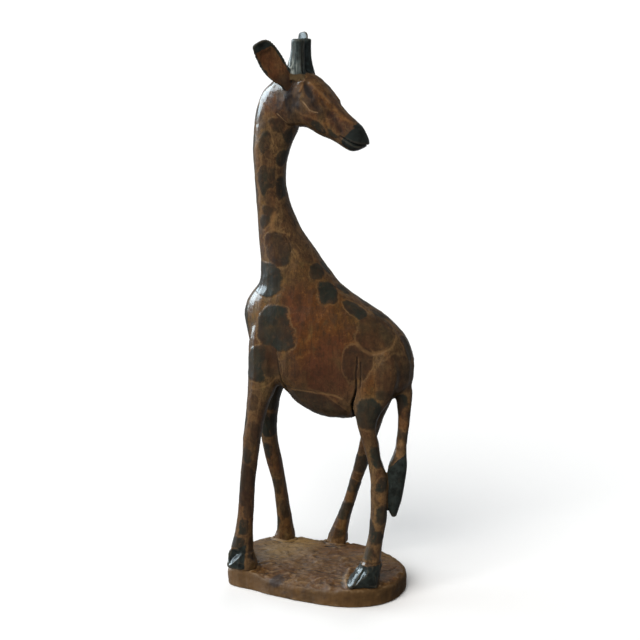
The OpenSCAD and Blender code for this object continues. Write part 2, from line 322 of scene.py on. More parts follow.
# ---- carving
# Cuts: frame, half width at each end, depth at each end, and points along the cut
CUTS = {
    "belly_crack": ("figure", (0.55, 2.8), (1.3, 6.5), [
        (42.5, -36, 257), (42, -36.5, 240), (41, -35.5, 222), (38.5, -28, 205), (35, -17, 189),
        (33, -5, 184)]),
    "belly_crack_2": ("figure", (0.4, 0.6), (1.1, 0.8), [
        (46.5, -35.5, 252), (46.5, -36, 240), (46, -35.5, 226)]),
    "foreleg_crease": ("figure", (0.9, 2.2), (0.5, 3.4), [
        (-42, -33.5, 259), (-41.5, -33, 250), (-39.5, -31, 235), (-36, -26, 218), (-34, -14, 205)]),
    "foreleg_crease_far": ("figure", (1.3, 2.2), (0.5, 2.6), [
        (-42.5, 33.5, 262), (-41.5, 33, 250), (-39.5, 31, 235), (-36, 26, 218), (-34, 14, 205)]),
    "neck_arc": ("figure", (0.6, 0.7), (0.5, 0.9), [
        (-47, -20, 375), (-41, -20, 374.5), (-35, -19.5, 371), (-31, -20, 365), (-29.5, -21, 358)]),
    "haunch_line": ("figure", (1.5, 1.5), (0.5, 0.5), [
        (42, -34, 270), (48, -33.5, 264), (55, -32, 260), (65, -28, 261), (75, -21, 267),
        (77, -14, 275)]),
    "belly_line": ("figure", (1.0, 1.0), (0.6, 0.4), [
        (-36, -25, 217), (-18, -32, 217.5), (4, -35, 216.5), (19, -35.5, 215), (27, -35, 212)]),
    "foreleg_line": ("figure", (0.9, 0.9), (0.3, 0.4), [
        (-66, -36, 216), (-60, -38, 217), (-50, -35, 221), (-44, -31, 227)]),
    "cheek": ("head", (0.5, 0.7), (0.9, 0.8), [(36.5, -19, 508.5), (41, -19, 504), (45.5, -18.8, 499.5)]),
    "cheek_end": ("head", (0.4, 0.3), (0.6, 0.4), [
        (45.5, -18.8, 499.5), (49, -18.5, 497.6), (54, -17, 497.2)]),
    "jaw": ("head", (0.5, 0.6), (0.9, 0.9), [(7.5, -17.5, 493.5), (12, -16.5, 490), (17, -14, 485)]),
    "mouth": ("head", (1.4, 0.8), (3.4, 1.0), [
        (100, 0, 465.3), (97, -6.4, 465.9), (94, -9.2, 466.6), (90, -10.7, 467.9), (84.7, -11, 470.5),
        (81, -11.1, 472.2), (75.5, -11.3, 474.6)]),
    "horn_groove": ("figure", (0.9, 0.7), (1.8, 1.4), [
        (-17, -18.5, 533), (-18, -17, 548), (-18.5, -15, 566)]),
    "horn_groove_2": ("figure", (0.4, 0.4), (0.5, 0.5), [(-26, -20, 545), (-25.5, -16, 566)]),
    "horn_groove_far": ("figure", (0.9, 0.7), (1.6, 1.2), [(-11, 22, 533), (-13, 19, 566)]),
    "hoof_cleft": ("figure", (0.8, 1.2), (0.8, 2.2), [(55, -62, 40), (50, -65, 32), (47, -68, 23)]),
    "fore_cleft": ("figure", (0.7, 1.0), (0.6, 1.8), [(-86, -50, 38), (-90, -51, 30), (-93, -50, 23)]),
}
for name in ("cheek", "cheek_end", "jaw", "mouth"):
    CUTS[name + "_far"] = CUTS[name][:3] + ([(x, -y, z) for x, y, z in CUTS[name][3]],)
SEAMS = ("haunch_line", "belly_line", "foreleg_line")
# The eye's two corners
EYE = [np.array([38.5, 14.3, 521.5]), np.array([46.5, 16.3, 511])]


def laid_on(q, points, step=1.5):
    """The polyline's points, closer together and each moved onto the nearest vertex of q."""
    points = np.array(points, float)
    spans = np.linalg.norm(np.diff(points, axis=0), axis=1)
    at = np.concatenate([[0], np.cumsum(spans)])
    s = np.linspace(0, at[-1], max(2, int(at[-1] / step) + 1))
    line = np.stack([np.interp(s, at, points[:, k]) for k in range(3)], 1)
    line = np.array([q[np.argmin(((q - x) ** 2).sum(1))] for x in line])
    for _ in range(3):
        line[1:-1] = 0.5 * line[1:-1] + 0.25 * (line[:-2] + line[2:])
    return line


def carve_cuts(skin):
    """Cuts the grooves; returns distances to the light scratches and to the tan seams, and the depth."""
    p = skin.v - FIGURE_AT
    spaces = {"figure": p, "head": to_head(p)}
    depth_all = np.zeros(len(p))
    bright, seam_line = np.full(len(p), 9.0), np.full(len(p), 9.0)
    for name, (space, widths, depths, points) in CUTS.items():
        q = spaces[space]
        lo, hi = np.min(points, 0) - 9, np.max(points, 0) + 9
        near = np.where(((q > lo) & (q < hi)).all(1))[0]
        if len(near) == 0:
            continue
        wobble = 0.35 * noise(q[near], 5, 3)
        d, along = to_path(q[near], laid_on(q[near], points))
        half = widths[0] + (widths[1] - widths[0]) * along ** 2
        depth = depths[0] + (depths[1] - depths[0]) * along ** 2
        cut = depth * (1 - ease(0.15, 1.0, np.maximum(d + wobble * half, 0) / (half + VOXEL * 0.5)))
        depth_all[near] = np.maximum(depth_all[near], cut)
        if name in SEAMS:
            seam_line[near] = np.minimum(seam_line[near], d - half)
        elif name.startswith(("cheek", "jaw")):
            bright[near] = np.minimum(bright[near], d - half)
    skin.v = skin.v - depth_all[:, None] * skin.normals()
    return bright, seam_line, depth_all


def eye_field(either):
    """Lens-shaped share of the distance from an eye's middle, below 1 on the eyeball."""
    a, b = EYE
    long = np.linalg.norm(b - a)
    axis = (b - a) / long
    d = either - (a + b) / 2
    u = d @ axis / (long / 2 + 1.5)
    across = np.cross(axis, [0, 1, 0])
    w = np.abs(d @ (across / np.linalg.norm(across)))
    lens = 3.1 * np.clip(1 - u * u, 0, 1) ** 0.7 + 0.05
    k = np.where(np.abs(u) > 1, 1 + (np.abs(u) - 1) * 8 + w, w / lens)
    return np.where((either[:, 1] > 6) & (np.abs(d[:, 1]) < 8), k, 99.0)


def facet(p, size, seed, strength):
    """Flats left by a knife: height in mm, lowest at the middle of each cut and highest where two meet."""
    near = cells(p + 1.2 * noise3(p, 9, seed), size, seed)
    return strength * (np.minimum(near, 0.8) ** 2 - 0.22)


bright, tan_line, cut_depth = carve_cuts(skin)
p = skin.v - FIGURE_AT
h = to_head(p)
z = p[:, 2]
n = skin.normals()
on_leg = ease(*LEGS, z)
on_neck = ease(*NECK, z)
on_head = ease(500, 512, z)
# Knife facets, long ones on the legs; calmer on the shoulder and at the nape, and hardly any on the ears
lift = facet(p, (9, 9, 30), 5, 1.1) * on_leg
calm = 1 - 0.6 * ease(-58, -70, p[:, 0]) * ease(235, 250, z) * ease(330, 310, z)
lift += facet(p, (15, 15, 24), 11, 1.1) * (1 - on_leg) * (1 - 0.3 * on_neck) * (1 + 0.3 * on_head) * calm
lift *= 1 - 0.55 * ease(470, 488, z) * ease(-48, -56, p[:, 0])
lift += 0.12 * layered(p, (3, 3, 9), 21, 2)
lift *= np.where(on("ear_left", "ear_right"), 0.15, 1.0)
# Face, in the head frame and the same on either side: sunken sockets under a brow ridge,
# an eyeball in each, and hollows along the muzzle, each with its centre, radius and depth
HOLLOWS = [((40, 14.5, 520), 5.5, 1.3), ((45, 16.5, 513), 5.5, 1.2), ((53, 17, 503), 4.5, 0.9),
           ((66, 13, 494), 6, 0.7), ((28, 18, 506), 6, 0.8), ((92, 8, 475), 3, 0.6)]
BROW = [(33, 13, 524), (39, 11.5, 526), (46, 12.5, 521.5), (54, 11.5, 514), (62, 9, 506)]
TEMPLE_EDGE = [(35.7, 11.7, 526.8), (35.5, 14.2, 523), (34.8, 16, 519.5), (33.7, 17, 516.6)]
NOSE_EDGE = [(43.5, 11.8, 523.4), (51, 11.2, 518), (57.7, 9.4, 511.4), (63.7, 8.3, 505)]
LIP_EDGE = [(54.9, 16, 489), (59.6, 14.5, 485), (62.5, 11.8, 477.4)]
MUZZLE_FURROW = [(64, 13, 496.8), (68.4, 12.5, 492), (72.5, 12, 486.6), (76.8, 11.7, 480)]
# Knife ridges of the face, and furrows: points, half width and height
FACE_RIDGES = [(TEMPLE_EDGE, 1.4, 0.35), (NOSE_EDGE, 2.2, 0.5), (LIP_EDGE, 1.2, 0.5),
               ([(56, 14, 507), (60, 13, 500), (64, 12, 494)], 1.6, -0.6), (MUZZLE_FURROW, 2.4, -0.7)]
face = np.where(on("head", "neck"))[0]
either = one_side(h[face])
for centre, radius, depth in HOLLOWS:
    lift[face] -= depth * np.exp(-((either - np.array(centre, float)) ** 2).sum(1) / radius ** 2)
lift[face] += 1.1 * np.exp(-(to_path(either, BROW)[0] / 2.2) ** 2)
k = eye_field(either)
lift[face] += 0.25 * (1 - ease(0.0, 1.2, k)) - 0.15 * np.exp(-((k - 1.25) / 0.4) ** 2)
for points, wide, high in FACE_RIDGES:
    lift[face] += high * np.exp(-(to_path(either, points)[0] / wide) ** 2)
# Hooves: a step at the coronet and rough knife cuts below it
CORONETS = [("hindleg_left", 44.5, 0.5), ("foreleg_left", 40, 0.5), ("foreleg_right", 30, 0),
            ("hindleg_right", 30, 0)]
for node, level, rise in CORONETS:
    mine = np.where(on(node))[0]
    below = ease(level + 1.5, level - 1.5, z[mine] + 2.0 * noise(p[mine], 9, 95))
    step = rise * (below - 1.2 * np.exp(-((z[mine] - level - 1) / 1.3) ** 2))
    lift[mine] += step + below * facet(p[mine], (8, 8, 10), 97, 2.2 if rise else 1.4)
skin.v = skin.v + lift[:, None] * n

# Flats cut with one stroke: piece, a point on the flat, its outward direction and how far it reaches
FLATS = [
    ("foreleg_left", (-83, -49, 33), (-0.66, -0.44, 0.61), 10),
    ("hindleg_left", (50, -61, 35), (-0.72, -0.4, 0.57), 13),
    ("hindleg_left", (62, -60, 30), (0.35, -0.92, 0.15), 13),
    ("hindleg_left", (60, -61, 23), (0.25, -0.85, -0.45), 16),
    ("horn_left", (-30.9, -15.4, 557), (-0.8, -0.6, 0.1), 30),
    ("horn_left", (-19.5, -19.3, 552), (0.1, -0.99, 0.05), 30),
]
# Swells pushed out of the wood: frame, centre, reach and movement
SWELLS = [
    ("figure", (45, -61, 24), 11, (0.5, -3.5, -0.5)),
    ("figure", (-22, -34, 238), 24, (1.0, -2.6, 0)),
    ("figure", (-22, 34, 238), 24, (1.0, 2.6, 0)),
    ("head", (99, 0, 461.5), 5, (-3.0, 0, 0.4)),
    ("head", (101, 0, 467.5), 4, (1.2, 0, -0.8)),
]


def carve_flats(skin):
    """Pushes the swells out, and then planes each flat down to its plane."""
    for space, centre, reach, move in SWELLS:
        q = skin.v - FIGURE_AT
        q = to_head(q) if space == "head" else q
        d = np.linalg.norm(q - np.array(centre, float), axis=1) / reach
        move = from_head(move) if space == "head" else np.array(move)
        skin.v = skin.v + np.exp(-d ** 2 * 1.5)[:, None] * move
    for node, point, direction, reach in FLATS:
        out = np.array(direction, float) / np.linalg.norm(direction)
        d = skin.v - FIGURE_AT - np.array(point, float)
        over = np.maximum(d @ out, 0) * (1 - ease(0.8, 1.1, np.linalg.norm(d, axis=1) / reach))
        skin.v = skin.v - (over * on(node))[:, None] * out


carve_flats(skin)


# ---- painted pattern
# Patches in the figure frame: x, y, z, half width, half height, facing in degrees (-90 the near side,
# 90 the far, 180 the chest), tone (0 black-green, 1 brown), and strength and tilt in degrees where they
# aren't 1 and 0.
PATCHES = [
    # neck, near side and its two edges
    (-46, -17, 484, 7, 8, -90, 0.6, 0.8), (-34, -12, 473, 7, 8, -50, 0.05, 1, 20),
    (-57, -16, 463, 6.5, 12, -94, 0.35, 0.9), (-40, -8, 449, 8, 9.5, -17, 0.0),
    (-55, -16, 429, 8.5, 16, -85, 0.25, 0.9), (-42, -8, 419, 7, 10, -15, 0.2),
    (-54, -18, 399, 8, 6, -90, 0.5, 0.8, -10), (-57.5, -17, 386, 5, 8, -95, 0.35, 0.9),
    (-54, -17, 446, 6, 12, -88, 0.9, 0.65), (-50, -17, 410, 5, 9, -85, 1.0, 0.5),
    (-22, -14, 366, 6, 12, -45, 0.9, 0.5), (-41, -21, 359, 14, 15.5, -90, 0.7),
    (-33, -10, 389, 8, 16, -30, 0.85, 0.5), (-16, -15, 356, 8, 14, -40, 0.7, 0.5, -10),
    (-3, -17.5, 335, 9, 7.5, -55, 0.35, 0.9, 15), (3, -3, 339, 6, 6, 0, 0.1),
    (-70, -3, 458, 9, 15, -170, 0.1, 0.9), (-70, -4, 415, 8, 14, -175, 0.3, 0.8),
    (-67, -5, 372, 8, 15, -170, 0.3, 0.7), (-62, -4, 492, 9, 10, -170, 0.3, 0.6),
    # trunk, near side
    (-55, -19, 327, 17.5, 18, -120, 0.0), (-76, -12, 284, 6, 17, -140, 0.1),
    (-44, -32, 279, 18, 22, -95, 0.08), (-37, -34, 273, 14, 14, -90, 0.08),
    (8.5, -21, 316, 8.5, 10.5, -65, 0.15), (38, -20, 300, 18, 5.5, -60, 0.15, 1, -43),
    (59, -24, 281, 20, 17, -62, 0.8, 0.6, -10), (79, -25, 237, 18, 21, -58, 0.85, 0.5),
    (44, -36, 251, 13.5, 19, -90, 1, 0.8), (54, -37, 200, 13, 16, -90, 0.12),
    (-2, -26, 200, 33, 16, -80, 0.3, 0.68, -8), (-62, -33, 241, 13, 20, -97, 0.2, 0.95),
    (-48, -34, 244, 9, 17, -90, 0.75, 0.8), (71, -33, 219, 8, 6, -75, 0.2, 0.6, 15),
    (87, -6, 262, 8, 14, -20, 0.3, 0.8), (62, -4, 295, 13, 7, -40, 0.2, 0.9, -35),
    (20, -6, 322, 10, 6, -30, 0.2, 0.9, -40),
    # near foreleg
    (-69, -37, 200, 6, 9, -110, 0.7, 0.6), (-72, -40, 146, 5.5, 8, -95, 0.1),
    (-71, -42, 122, 8, 14, -85, 0.9, 0.95), (-76, -43, 100, 6.5, 11, -95, 0.85, 0.95),
    (-68, -40, 158, 5, 9, -60, 0.95, 0.7), (-72, -44, 84, 6, 8, -80, 0.75, 0.85),
    (-76, -46, 68, 6, 8.5, -95, 0.05), (-81, -49, 46, 6, 10, -100, 0.0),
    (-66, -44, 42, 5, 13, -20, 0.45, 0.9), (-67, -38, 170, 5, 10, -30, 0.35, 0.7),
    (-80, -32, 180, 5, 12, 180, 0.3, 0.8), (-83, -40, 110, 5, 12, 180, 0.2, 0.8),
    # far foreleg, the side that shows between the legs and its outer side
    (-60, 15, 190, 14, 16, -60, 0.0), (-66, 21, 158, 12, 12, -85, 0.1), (-71, 24, 129, 5, 9, -110, 0.15),
    (-61, 29, 86, 7, 10, -80, 0.2, 0.9), (-55, 33, 60, 4, 10, -30, 0.4, 0.8),
    (-62, 34, 42, 3.5, 8, -150, 0.2, 0.9), (-64, 38, 176, 7, 12, 90, 0.1), (-68, 40, 140, 6, 10, 90, 0.2),
    (-62, 42, 104, 6, 12, 90, 0.1), (-58, 46, 66, 6, 10, 90, 0.2),
    # far hindleg: bands that run round it
    (30, 32, 122, 14, 10, -90, 0.1), (22, 36, 92, 13, 8.5, -90, 0.1), (13, 40, 63, 12, 8, -90, 0.1),
    (3, 42, 36, 5, 7, 180, 0.3, 0.8), (40, 32, 158, 10, 11, -90, 0.3, 0.9), (34, 42, 140, 7, 12, 90, 0.1),
    (20, 46, 100, 7, 9, 90, 0.2),
    # near hindleg
    (64, -36, 155, 6, 12, -50, 0.08), (72, -41, 126, 5.5, 7.5, -65, 0.0), (74, -44, 98, 6, 9.5, -60, 0.05),
    (69, -48, 72, 6, 9.5, -60, 0.05), (59, -46, 82, 5, 10, -160, 0.2, 0.95),
    (62, -52, 55, 6, 6, -95, 0.25, 0.8), (57, -32, 128, 4, 12, 180, 0.4, 0.7),
    (74, -30, 150, 6, 10, 40, 0.2), (68, -31, 112, 7, 9, 90, 0.3), (66, -36, 66, 6, 12, 90, 0.2, 0.9),
    # tail
    (82, -12, 203, 5, 12, -170, 0.1), (84, -16, 170, 4, 9, -150, 0.1), (92, -10, 190, 4, 9, 20, 0.3, 0.7),
    # head and ears, near side
    (2.5, -28, 482, 7.5, 4.6, -105, 0.05, 0.9, -30), (18.5, -29.5, 479, 6.5, 4, -105, 0.0, 0.9, -28),
    (1, 28, 485, 9, 5, 105, 0.1, 1, -30), (20, 21, 478, 6.5, 4, 105, 0.05, 1, -28),
    # neck, far side
    (-50, 17, 486, 8, 9, 90, 0.3), (-60, 16, 460, 8, 12, 95, 0.1), (-42, 12, 462, 7, 10, 40, 0.5, 0.9),
    (-54, 16, 432, 9, 13, 90, 0.05), (-40, 10, 430, 6, 9, 20, 0.6, 0.7), (-58, 17, 403, 8, 11, 95, 0.3),
    (-40, 18, 396, 8, 13, 70, 0.1), (-52, 21, 368, 12, 13, 95, 0.5, 0.9), (-26, 19, 363, 9, 13, 60, 0.2),
    # trunk, far side
    (-58, 20, 330, 14, 17, 118, 0.05), (-28, 26, 328, 12, 12, 80, 0.8, 0.7),
    (-46, 32, 286, 18, 19, 95, 0.1), (-6, 26, 316, 12, 14, 78, 0.15),
    (-14, 35, 282, 14, 15, 90, 0.6, 0.8, 15), (22, 22, 304, 14, 11, 70, 0.2, 1, 30),
    (18, 36, 262, 17, 16, 90, 0.85, 0.7), (50, 26, 284, 15, 13, 65, 0.1, 1, 35),
    (55, 34, 250, 15, 17, 85, 0.2), (84, 18, 252, 12, 17, 50, 0.6, 0.8), (-14, 35, 240, 14, 16, 90, 0.15),
    (24, 34, 222, 14, 12, 90, 0.1), (-60, 34, 244, 13, 18, 97, 0.2), (-66, 30, 208, 9, 11, 100, 0.1),
    (60, 36, 205, 13, 15, 88, 0.15), (0, 10, 192, 26, 12, 90, 0.35, 0.9), (80, 22, 215, 9, 12, 50, 0.2),
    (-78, 2, 300, 10, 13, 180, 0.6, 0.8), (-78, 4, 262, 12, 15, 180, 0.15),
    (-68, 2, 236, 8, 8, 180, 0.3, 0.8), (89, 8, 225, 8, 14, 10, 0.35, 0.9),
    (45, 6, 306, 12, 9, 30, 0.3, 0.8, -30),
]


def patch_field(p):
    """Signed distance to the nearest patch (below zero inside it), with its tone and strength."""
    warp = noise3(p, 17, 31) * 3.4 + noise3(p, 6, 41)
    warp += noise3(p, (11, 11, 16), 35) * 2.4 * ease(*NECK, p[:, 2])[:, None]
    q = p + warp
    best = np.full(len(p), 30.0)
    tone, force = np.ones(len(p)), np.zeros(len(p))
    power = 2.7  # rounds the patches' corners; 2 would make them ellipses
    for row in PATCHES:
        *centre, wide, high, facing, shade, strength, tilt = row + (1, 0)[len(row) - 7:]
        f, t = math.radians(facing), math.radians(tilt)
        d = q - np.array(centre)
        near = np.where((np.abs(d) < 2.2 * max(wide, high) + 8).all(1))[0]
        d = d[near]
        deep = min(18, 5 + 0.7 * min(wide, high))
        sideways = -d[:, 0] * math.sin(f) + d[:, 1] * math.cos(f)
        outward = d[:, 0] * math.cos(f) + d[:, 1] * math.sin(f)
        u = sideways * math.cos(t) + d[:, 2] * math.sin(t)
        w = -sideways * math.sin(t) + d[:, 2] * math.cos(t)
        k = np.abs(u / wide) ** power + np.abs(w / high) ** power + np.abs(outward / deep) ** power
        k = k ** (1 / power)
        out = np.sqrt(u * u + w * w + outward * outward) * (1 - 1 / np.maximum(k, 0.05))
        out = np.where(k < 0.3, -0.7 * min(wide, high), out)
        closer = out < best[near]
        hit = near[closer]
        best[hit], tone[hit], force[hit] = out[closer], shade, strength
    return best, tone, force


def paint_field(p, h):
    """Distance into the solid black paint of muzzle, horns, near hooves and tail tuft."""
    rough = 1.3 * noise(p, 6, 51) + 0.5 * noise(p, 2.2, 52)
    x, s, z = p[:, 0], h[:, 0], p[:, 2]
    muzzle = np.interp(z, [462, 468, 472.5, 475.5, 481.5, 486, 491], [81, 78, 75.5, 80, 85.5, 88.5, 92])
    toe = np.maximum(z - 45 - (x + 80) * 0.5, x + 72.5)
    crown = on("head") & (s > 13) & (s < 38)
    out = np.full(len(p), 9.0)
    for where, edge in ((on("head"), muzzle - s + 2.8 * noise(h, 7, 53) + 1.9 * rough),
                        (on("horn_left", "horn_right") | crown, 532.5 - z + rough * 0.8),
                        (on("tail"), z - 149 + (84 - x) * 0.9 + rough),
                        (on("foreleg_left"), toe + rough * 0.6),
                        (on("hindleg_left"), z - 43.5 + rough * 0.7)):
        out = np.where(where, np.minimum(out, edge), out)
    return out


# The ear blade's outline: share of its length, and of its width to the rear and front edges
EAR_OUTLINE = [(-0.1, -0.14, 0.14), (0.08, -0.2, 0.2), (0.22, -0.34, 0.3), (0.4, -0.46, 0.34),
               (0.58, -0.5, 0.35), (0.74, -0.48, 0.33), (0.88, -0.44, 0.27), (0.97, -0.38, 0.15),
               (1.0, -0.31, 0)]
# Side of the head, lean and turn of each ear
EARS = {"ear_left": (-1, (-18, 19, 44), 103.0), "ear_right": (1, (-6, 13, 61), 125.0)}
EAR_LONG, EAR_WIDE = 53.0, 29.0
EAR_AT = np.array([20.0, 14.0, 519.0])


def ear_fields(h, name):
    """On an ear: share of its length, mm in from the rear and front edges, mm behind its middle sheet."""
    side, lean, turn = EARS[name]
    d = h * np.array([1, side, 1]) - EAR_AT
    ez = np.array(lean, float) / np.linalg.norm(lean)
    phi, theta, turn = math.atan2(ez[1], ez[0]), math.acos(ez[2]), math.radians(turn)
    ex = np.array([math.cos(phi) * math.cos(theta), math.sin(phi) * math.cos(theta), -math.sin(theta)])
    ey = np.array([-math.sin(phi), math.cos(phi), 0.0])
    back = math.cos(turn) * ex + math.sin(turn) * ey
    across = -math.sin(turn) * ex + math.cos(turn) * ey
    share = d @ ez / EAR_LONG
    at, low, high = np.array(EAR_OUTLINE).T
    y = d @ across
    rear = y - np.interp(share, at, low) * EAR_WIDE
    return share, rear, np.interp(share, at, high) * EAR_WIDE - y, d @ back


# Ears: a raised rim round the hollow, painted black, widest at the tip
p = skin.v - FIGURE_AT
h = to_head(p)
n = skin.normals()
paint = paint_field(p, h)
ear_root_shade = np.zeros(len(p))
for name in EARS:
    mine = np.where(on(name))[0]
    share, rear, front, back = ear_fields(h[mine], name)
    inner = ease(1.4, 0.2, back)
    # Painted shade at each ear's root, where it meets the head
    ear_root_shade[mine] = ease(0.42, 0.12, share + 0.08 * noise(p[mine], 8, 66))
    rim = np.minimum(np.minimum(rear - 2.5, front - 2.4), (1 - share) * EAR_LONG - 8.5)
    rim = rim + 0.8 * noise(p[mine], 5, 61) + 1.5 * ease(0.45, 0.2, share)
    paint[mine] = np.where(inner > 0.5, rim, np.minimum(rim - 1.5, 4 + 3 * noise(p[mine], 9, 62)))
    hollow = 1.5 * ease(0.0, 5.0, rim) * inner * ease(0.08, 0.3, share)
    skin.v[mine] -= hollow[:, None] * n[mine]
spot, tone, force = patch_field(p)
spot = np.where(on(*EARS, "horn_left", "horn_right"), 12.0, spot)  # no patches there

# Painted patches stand a hair proud of the scraped lines between them
n = skin.normals()
uneven = np.clip(0.5 + layered(p, 14, 91, 2), 0, 1)
proud = 0.15 * (1 - ease(-1.0, 1.0, spot)) - 0.22 * np.exp(-((spot - 1.6) / 1.2) ** 2)
skin.v += (proud * force * uneven)[:, None] * n


# ---- surface fields for the materials
def blobs(p, table):
    """Soft mask from balls of x, y, z, radius and strength."""
    out = np.zeros(len(p))
    for x, y, z, r, k in table:
        d2 = ((p - np.array([x, y, z])) ** 2).sum(1)
        out = out + k * np.exp(-d2 / (r * r))
    return np.clip(out, -1, 1)


curve = skin.curvature(3) / VOXEL ** 2
p = skin.v - FIGURE_AT
warm = blobs(p, [
    (0, -36, 285, 34, 1), (-10, -36, 262, 26, 0.7), (25, -34, 285, 24, 0.7), (-25, -33, 305, 18, 0.7),
    (57, -36, 236, 9, 0.9), (56, -36, 222, 8, 0.9), (-10, 36, 280, 40, 0.8), (30, 36, 250, 25, 0.6),
    (10, -25, 312, 20, 0.6), (-8, -18, 345, 22, 0.6), (86, -14, 190, 16, 0.7), (-62, 31, 118, 26, 0.25),
    (22, 36, 78, 20, 0.4), (5, 40, 40, 16, 0.6), (-58, 33, 40, 18, 0.5)])
red = blobs(p, [
    (50, -34, 267, 8, 0.9), (14, -38, 255, 15, 1), (2, -38, 240, 17, 0.9), (-20, -36, 292, 17, 0.8),
    (-66, -43, 168, 16, 0.4), (-30, -33, 310, 10, 0.6), (20, -36, 268, 10, 0.8), (26, -36, 228, 16, 0.6),
    (0, -36, 225, 20, 0.5), (-50, -18, 500, 12, 0.5), (-60, -18, 372, 10, 0.5), (10, 36, 245, 25, 0.6),
    (-66, -44, 120, 30, 0.3), (-74, -44, 90, 26, 0.4), (-62, 31, 118, 16, 0.6), (-40, -20, 440, 14, 0.3)])
# The head's own colours, the same on either side of it
either = one_side(h)
on_face = on("head").astype(float)
warm += on_face * blobs(either, [
    (46, 12, 520, 6, 1), (52, 11, 515, 6.5, 1), (58, 9.5, 508, 6.5, 0.9), (64, 9, 503, 6, 0.8),
    (74, 8, 495, 6, 1), (81, 6.5, 490, 5.5, 0.8), (60, 14, 486, 5, 0.6), (47, 17.5, 492, 5, 0.5)])
red += on_face * blobs(either, [
    (48, 18, 491.5, 6, 0.8), (66, 13, 495, 5, 0.9), (71, 12, 489, 5.5, 1), (76, 11.5, 482, 5.5, 1),
    (40, 17, 488, 7, 0.5)])
on_blade = on(*EARS)
red += on_blade * np.clip(0.4 + 0.8 * layered(p, 12, 65, 2), 0, 1)
dark = on_face * blobs(either, [
    (26, 17, 504, 7, 0.55), (10, 17, 500, 8, 0.4), (92, 6, 474, 14, 0.9), (40, 17, 508, 6, 0.35)])


def strokes(p, table):
    """Soft mask from brush strokes of half width, strength and points."""
    out = np.zeros(len(p))
    for wide, strength, points in table:
        out = np.maximum(out, strength * np.exp(-(to_path(p, points)[0] / wide) ** 2))
    return out


dark = np.maximum(dark, on_face * strokes(either, [
    (3.9, 1.0, [(37.5, 14.1, 522.5), (41.5, 15.6, 517.5), (44.5, 16.2, 512.5)]),
    (5.4, 0.95, [(46.3, 16.6, 510), (49.2, 17.6, 505), (52.2, 17, 501.5), (56, 16, 498)]),
    # Painted shade along the top of the nose
    (2.6, 0.55, [(58, 5.5, 508.5), (66, 5, 503), (75, 4.5, 497), (84, 4, 491)]),
    (3.0, 0.6, [(41, 17.5, 510), (44, 18, 505), (49, 18, 501)]),
    (3.4, 0.8, [(33, 16.5, 516), (31.5, 17.5, 509), (33, 18.5, 500)]),
    (6.0, 0.75, [(26, 16, 524), (21, 17, 514), (20, 18, 502), (28, 18, 492)]),
    (5.0, 0.55, [(12, 18, 512), (8, 18, 498), (14, 17, 486)]),
    (4.5, 0.5, [(38, 18.5, 498), (46, 18, 491), (40, 18, 485)]),
    (3.2, 0.95, MUZZLE_FURROW),
    (2.6, 0.7, [(56, 13.5, 508), (60, 12.5, 501), (63, 12.5, 496)])]))
light = on_face * strokes(either, [
    # The stroke on the temple's edge is a tan lid line with a painted highlight on its ridge
    (1.1, 0.9, TEMPLE_EDGE), (2.6, 0.6, NOSE_EDGE + [(69, 8, 499.4)]),
    (2.2, 0.6, [(71.5, 8.3, 496.7), (77.6, 7.4, 492), (83.7, 6.4, 488.6)]),
    (1.3, 0.8, LIP_EDGE),
    (1.4, 0.6, [(30, 17.5, 498), (38, 17.8, 494), (46, 17.8, 493), (54.9, 16, 489)])])
light += strokes(p, [
    # The first two strokes run down the neck's left edge: tan lines with a painted highlight of the light
    # from the left
    (1.6, 0.55, [(-66, -13, 492), (-67, -13.5, 470), (-67, -14, 452), (-66.5, -14, 436)]),
    (1.6, 0.5, [(-66, -14, 430), (-64, -15, 412), (-62, -16, 396)]),
    (2.2, 0.8, [(-46, -18, 397), (-49, -18.5, 388), (-49.5, -19, 379)]),
    (1.5, 0.6, [(-36, -19, 408), (-39, -17, 402), (-44, -18, 398), (-50, -18.5, 405)]),
    (1.3, 0.6, [(-36, -15, 470), (-44, -17, 462), (-48, -17, 452), (-49, -16, 440)])])
# Scraped streaks at the horns' roots, under a painted highlight of the light from the left
scrape_and_sheen = blobs(p, [
    (-30, -20, 535, 6, 1), (-27, -21, 540, 6, 0.7), (-31, -18, 545, 5, 0.5), (-30, -16, 556, 7, 0.35),
    (-36, 13, 536, 8, 0.6)])
dark += blobs(p, [
    (-30, -23, 512, 6, 0.7), (-27, -24, 503, 6, 0.6), (-66, -44, 34, 7, 0.7), (-73, -42, 128, 15, 0.35),
    (-77, -43, 100, 15, 0.35), (0, -37, 232, 24, 0.2), (26, -37, 234, 18, 0.25), (-22, -34, 240, 16, 0.25)])
# The ears' roots darkened with painted shade
dark = np.maximum(dark, 0.75 * ear_root_shade)
olive = blobs(p, [
    (-14, -16, 530, 9, 1), (-28, -20, 528, 8, 0.8), (-5, -14, 527, 7, 0.7), (-60, -12, 480, 14, 0.4),
    (60, -28, 285, 22, 0.8), (85, -20, 240, 22, 0.4), (30, -26, 300, 14, 0.5), (-20, -28, 330, 16, 0.4),
    (-14, 16, 530, 9, 1), (60, 28, 285, 22, 0.6)])
z = p[:, 2]
fields = {
    "spot": spot, "tone": tone, "force": force, "paint": paint, "scratch": bright, "seam": tan_line,
    "ridge": curve, "cut": cut_depth, "eye": eye_field(either),
    "halo": (0.3 + 0.22 * ease(195, 235, z)) * (1 - 0.8 * on_face),
    "net": 0.75 * ease(335, 365, z) * (1 - 0.5 * on_face) * (1 - on_blade) + 0.3 * ease(195, 175, z),
    "worked": np.clip(0.3 + 0.3 * ease(340, 370, z) + 0.35 * on_face + 0.2 * ease(190, 170, z), 0, 1),
}
for key, values in (("warm", warm), ("red", red), ("dark", dark), ("light", light), ("scrape_and_sheen", scrape_and_sheen),
                    ("olive", olive)):
    fields[key] = np.clip(values, 0, 1)


